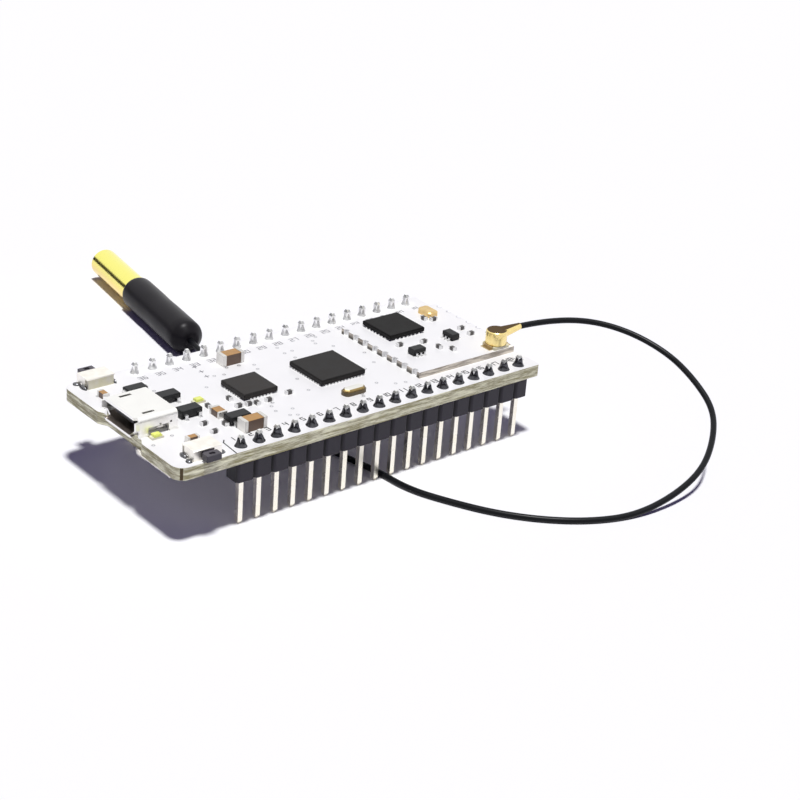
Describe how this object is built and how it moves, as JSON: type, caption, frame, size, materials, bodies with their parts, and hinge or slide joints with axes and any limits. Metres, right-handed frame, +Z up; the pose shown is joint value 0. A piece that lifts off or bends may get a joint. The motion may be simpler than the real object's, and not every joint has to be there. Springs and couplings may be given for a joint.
{
  "type": "lora radio module",
  "caption": "White long-range radio development board on two black pin headers, with USB socket, side push buttons, stacked radio board and a pigtail antenna with a brass tube.",
  "frame": {"origin": "on the surface that the header pins stand on, under the middle of the board", "axes": "+X along the board from the USB end to the radio end, +Y from the front pin row to the back pin row, +Z up out of the component side"},
  "size_m": [0.0732, 0.0975, 0.0134],
  "materials": {
    "white_laminate": "satin solder mask on glass laminate",
    "header_plastic": "matte moulded",
    "pin_metal": "light gold plating",
    "solder": "bright solder",
    "shell_metal": "bright plated sheet",
    "dark_plastic": "matte moulded",
    "chip_plastic": "fine matte moulding",
    "tinned_metal": "tin plated",
    "gold_metal": "gold plated",
    "button_metal": "polished sheet",
    "white_plastic": "matte moulded",
    "ceramic_brown": "fired, satin",
    "ceramic_dark": "fired, satin",
    "lens_plastic": "clear tinted",
    "crystal_metal": "gold rim, nickel lid",
    "lead_jacket": "smooth jacket",
    "sleeve_plastic": "shrunk sleeve, soft sheen",
    "tube_brass": "bright drawn brass"
  },
  "bodies": {
    "board": {"antenna_lead": "lead_jacket", "antenna_sleeve": "sleeve_plastic", "antenna_tube": "tube_brass", "back_button_base": "dark_plastic", "back_button_cover": "button_metal", "back_header_body": "header_plastic", "back_header_pins": "pin_metal", "back_solder_joints": "solder", "battery_socket_contacts": "tinned_metal", "battery_socket_housing": "white_plastic", "capacitor_bodies": "ceramic_brown", "capacitor_ends": "tinned_metal", "clock_crystal_base": "ceramic_dark", "clock_crystal_lid": "crystal_metal", "coax_plug": "gold_metal", "coax_plug_insert": "white_plastic", "coax_receptacle_base": "white_plastic", "coax_receptacle_pin": "gold_metal", "coax_receptacle_ring": "tinned_metal", "diode_body": "chip_plastic", "diode_leads": "tinned_metal", "front_button_base": "dark_plastic", "front_button_cover": "button_metal", "front_header_body": "header_plastic", "front_header_pins": "pin_metal", "front_solder_joints": "solder", "main_board": "white_laminate", "power_chip_leads": "tinned_metal", "power_chips": "chip_plastic", "processor_chip": "chip_plastic", "processor_pads": "tinned_metal", "radio_board": "white_laminate", "radio_board_pads": "solder", "radio_chip": "chip_plastic", "radio_chip_pads": "tinned_metal", "radio_crystal": "crystal_metal", "radio_part_bodies": "ceramic_dark", "radio_part_ends": "tinned_metal", "resistor_bodies": "ceramic_dark", "resistor_ends": "tinned_metal", "status_light_bases": "white_plastic", "status_light_lenses": "lens_plastic", "switch_chip_leads": "tinned_metal", "switch_chips": "chip_plastic", "usb_bridge_chip": "chip_plastic", "usb_bridge_pads": "tinned_metal", "usb_contacts": "gold_metal", "usb_shell": "shell_metal", "usb_tongue": "dark_plastic"},
    "front_button": {"front_button_plunger": "dark_plastic"},
    "back_button": {"back_button_plunger": "dark_plastic"}
  },
  "joints": [
    {"name": "front_button_press", "type": "slide", "parent": "board", "child": "front_button", "axis": [0, 1, 0], "range_m": [0, 0.00025], "stiffness_N_per_m": 1000},
    {"name": "back_button_press", "type": "slide", "parent": "board", "child": "back_button", "axis": [0, -1, 0], "range_m": [0, 0.00025], "stiffness_N_per_m": 1000}
  ]
}
